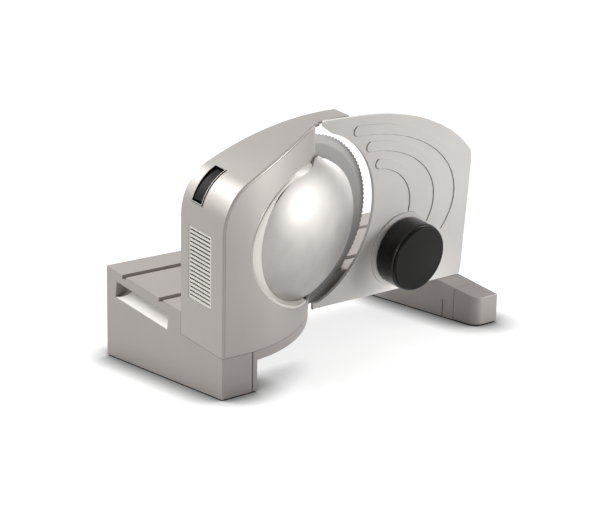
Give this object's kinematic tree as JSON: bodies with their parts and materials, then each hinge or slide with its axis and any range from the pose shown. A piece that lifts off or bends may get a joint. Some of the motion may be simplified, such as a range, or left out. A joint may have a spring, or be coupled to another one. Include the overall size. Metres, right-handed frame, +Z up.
{
  "type": "electric food slicer",
  "caption": "Household electric food slicer with a tilted round blade under a domed cover, a thickness knob on the stop plate and a sliding food carriage.",
  "frame": {"origin": "centre of the overall box at table level, under the feet", "axes": "+X runs along the machine from the motor housing to the arm, +Y points from the slice side to the food side, +Z is up"},
  "size_m": [0.352, 0.16, 0.2204],
  "materials": {
    "base_silver": "cast, warm silver-grey satin paint",
    "housing_silver": "cast, warm silver-grey satin paint",
    "polished_cover": "pressed sheet, polished",
    "bright_surround": "bright satin",
    "blade_steel": "turned stainless steel",
    "satin_plate": "satin",
    "black_gloss": "black, glossy",
    "black_plastic": "black",
    "dark_plastic": "dark grey, matt",
    "gear_plastic": "natural nylon",
    "rubber": "black rubber",
    "steel": "plain steel",
    "bronze": "sintered bronze"
  },
  "bodies": {
    "housing": {"base_frame": "base_silver", "arm_end_cap": "base_silver", "left_bottom_cover": "dark_plastic", "right_bottom_cover": "dark_plastic", "deck_bottom_cover": "dark_plastic", "foot_front_left": "rubber", "foot_rear_left": "rubber", "foot_front_right": "rubber", "foot_rear_right": "rubber", "cord_gland": "black_plastic", "tower_band": "housing_silver", "side_cover": "housing_silver", "drive_plate": "housing_silver", "vent_grille": "housing_silver", "switch_bezel": "black_plastic", "switch_block": "dark_plastic", "rocker_pin": "steel", "dome_cover": "polished_cover", "dome_surround": "bright_surround", "axle_bush": "bronze", "idler_shaft": "steel", "gear_bracket": "steel", "drive_motor": "steel", "motor_bracket": "steel", "worm_bearing": "gear_plastic", "cam_pin": "steel", "guide_bush_left": "bronze", "guide_bush_right": "bronze"},
    "blade_set": {"blade": "blade_steel", "blade_hub": "gear_plastic", "blade_lock": "black_plastic", "blade_axle": "steel", "blade_gear": "gear_plastic"},
    "idler": {"drive_pinion": "steel", "worm_wheel": "gear_plastic"},
    "rotor": {"worm": "steel", "motor_shaft": "steel"},
    "rocker": {"switch_rocker": "black_plastic"},
    "stop": {"stop_plate": "satin_plate", "knob_stud": "steel", "dial_ring": "dark_plastic", "guide_rod_left": "steel", "guide_rod_right": "steel"},
    "knob": {"knob_body": "black_gloss", "knob_cap": "black_gloss"},
    "carriage": {"carriage_plate": "base_silver", "front_runner": "dark_plastic", "rear_runner": "dark_plastic", "pusher_wall": "base_silver", "thumb_guard": "base_silver"},
    "holder": {"remnant_holder": "dark_plastic", "holder_spikes": "steel", "holder_grip": "black_plastic"}
  },
  "joints": [
    {"name": "blade_spin", "type": "hinge", "parent": "housing", "child": "blade_set", "pos_m": [-0.0511, -0.02899, 0.12218], "axis": [0, 0.986, 0.1668], "continuous": true},
    {"name": "idler_spin", "type": "hinge", "parent": "housing", "child": "idler", "pos_m": [-0.1051, -0.02899, 0.12218], "axis": [0, 0.986, 0.1668], "continuous": true},
    {"name": "rotor_spin", "type": "hinge", "parent": "housing", "child": "rotor", "pos_m": [-0.1336, -0.05758, 0.11734], "axis": [0, -0.1668, 0.986], "continuous": true},
    {"name": "rocker_tilt", "type": "hinge", "parent": "housing", "child": "rocker", "pos_m": [-0.15934, -0.04173, 0.17469], "axis": [0, 0.986, 0.1668], "range_deg": [-8, 0]},
    {"name": "plate_slide", "type": "slide", "parent": "housing", "child": "stop", "axis": [0, 0.986, 0.1668], "range_m": [-0.0152, 0.005]},
    {"name": "knob_turn", "type": "hinge", "parent": "stop", "child": "knob", "pos_m": [0.083, -0.0407, 0.0775], "axis": [0, 0.986, 0.1668], "range_deg": [-66, 204]},
    {"name": "carriage_slide", "type": "slide", "parent": "housing", "child": "carriage", "axis": [1, 0, 0], "range_m": [-0.104, 0.14]},
    {"name": "holder_slide", "type": "slide", "parent": "carriage", "child": "holder", "axis": [0, 0.986, 0.1668], "range_m": [0, 0.055]}
  ],
  "couplings": [
    {"joint": "idler_spin", "follows": "blade_spin", "ratio": -5},
    {"joint": "rotor_spin", "follows": "blade_spin", "ratio": 150},
    {"joint": "plate_slide", "follows": "knob_turn", "m_per_rad": -0.0042441}
  ]
}
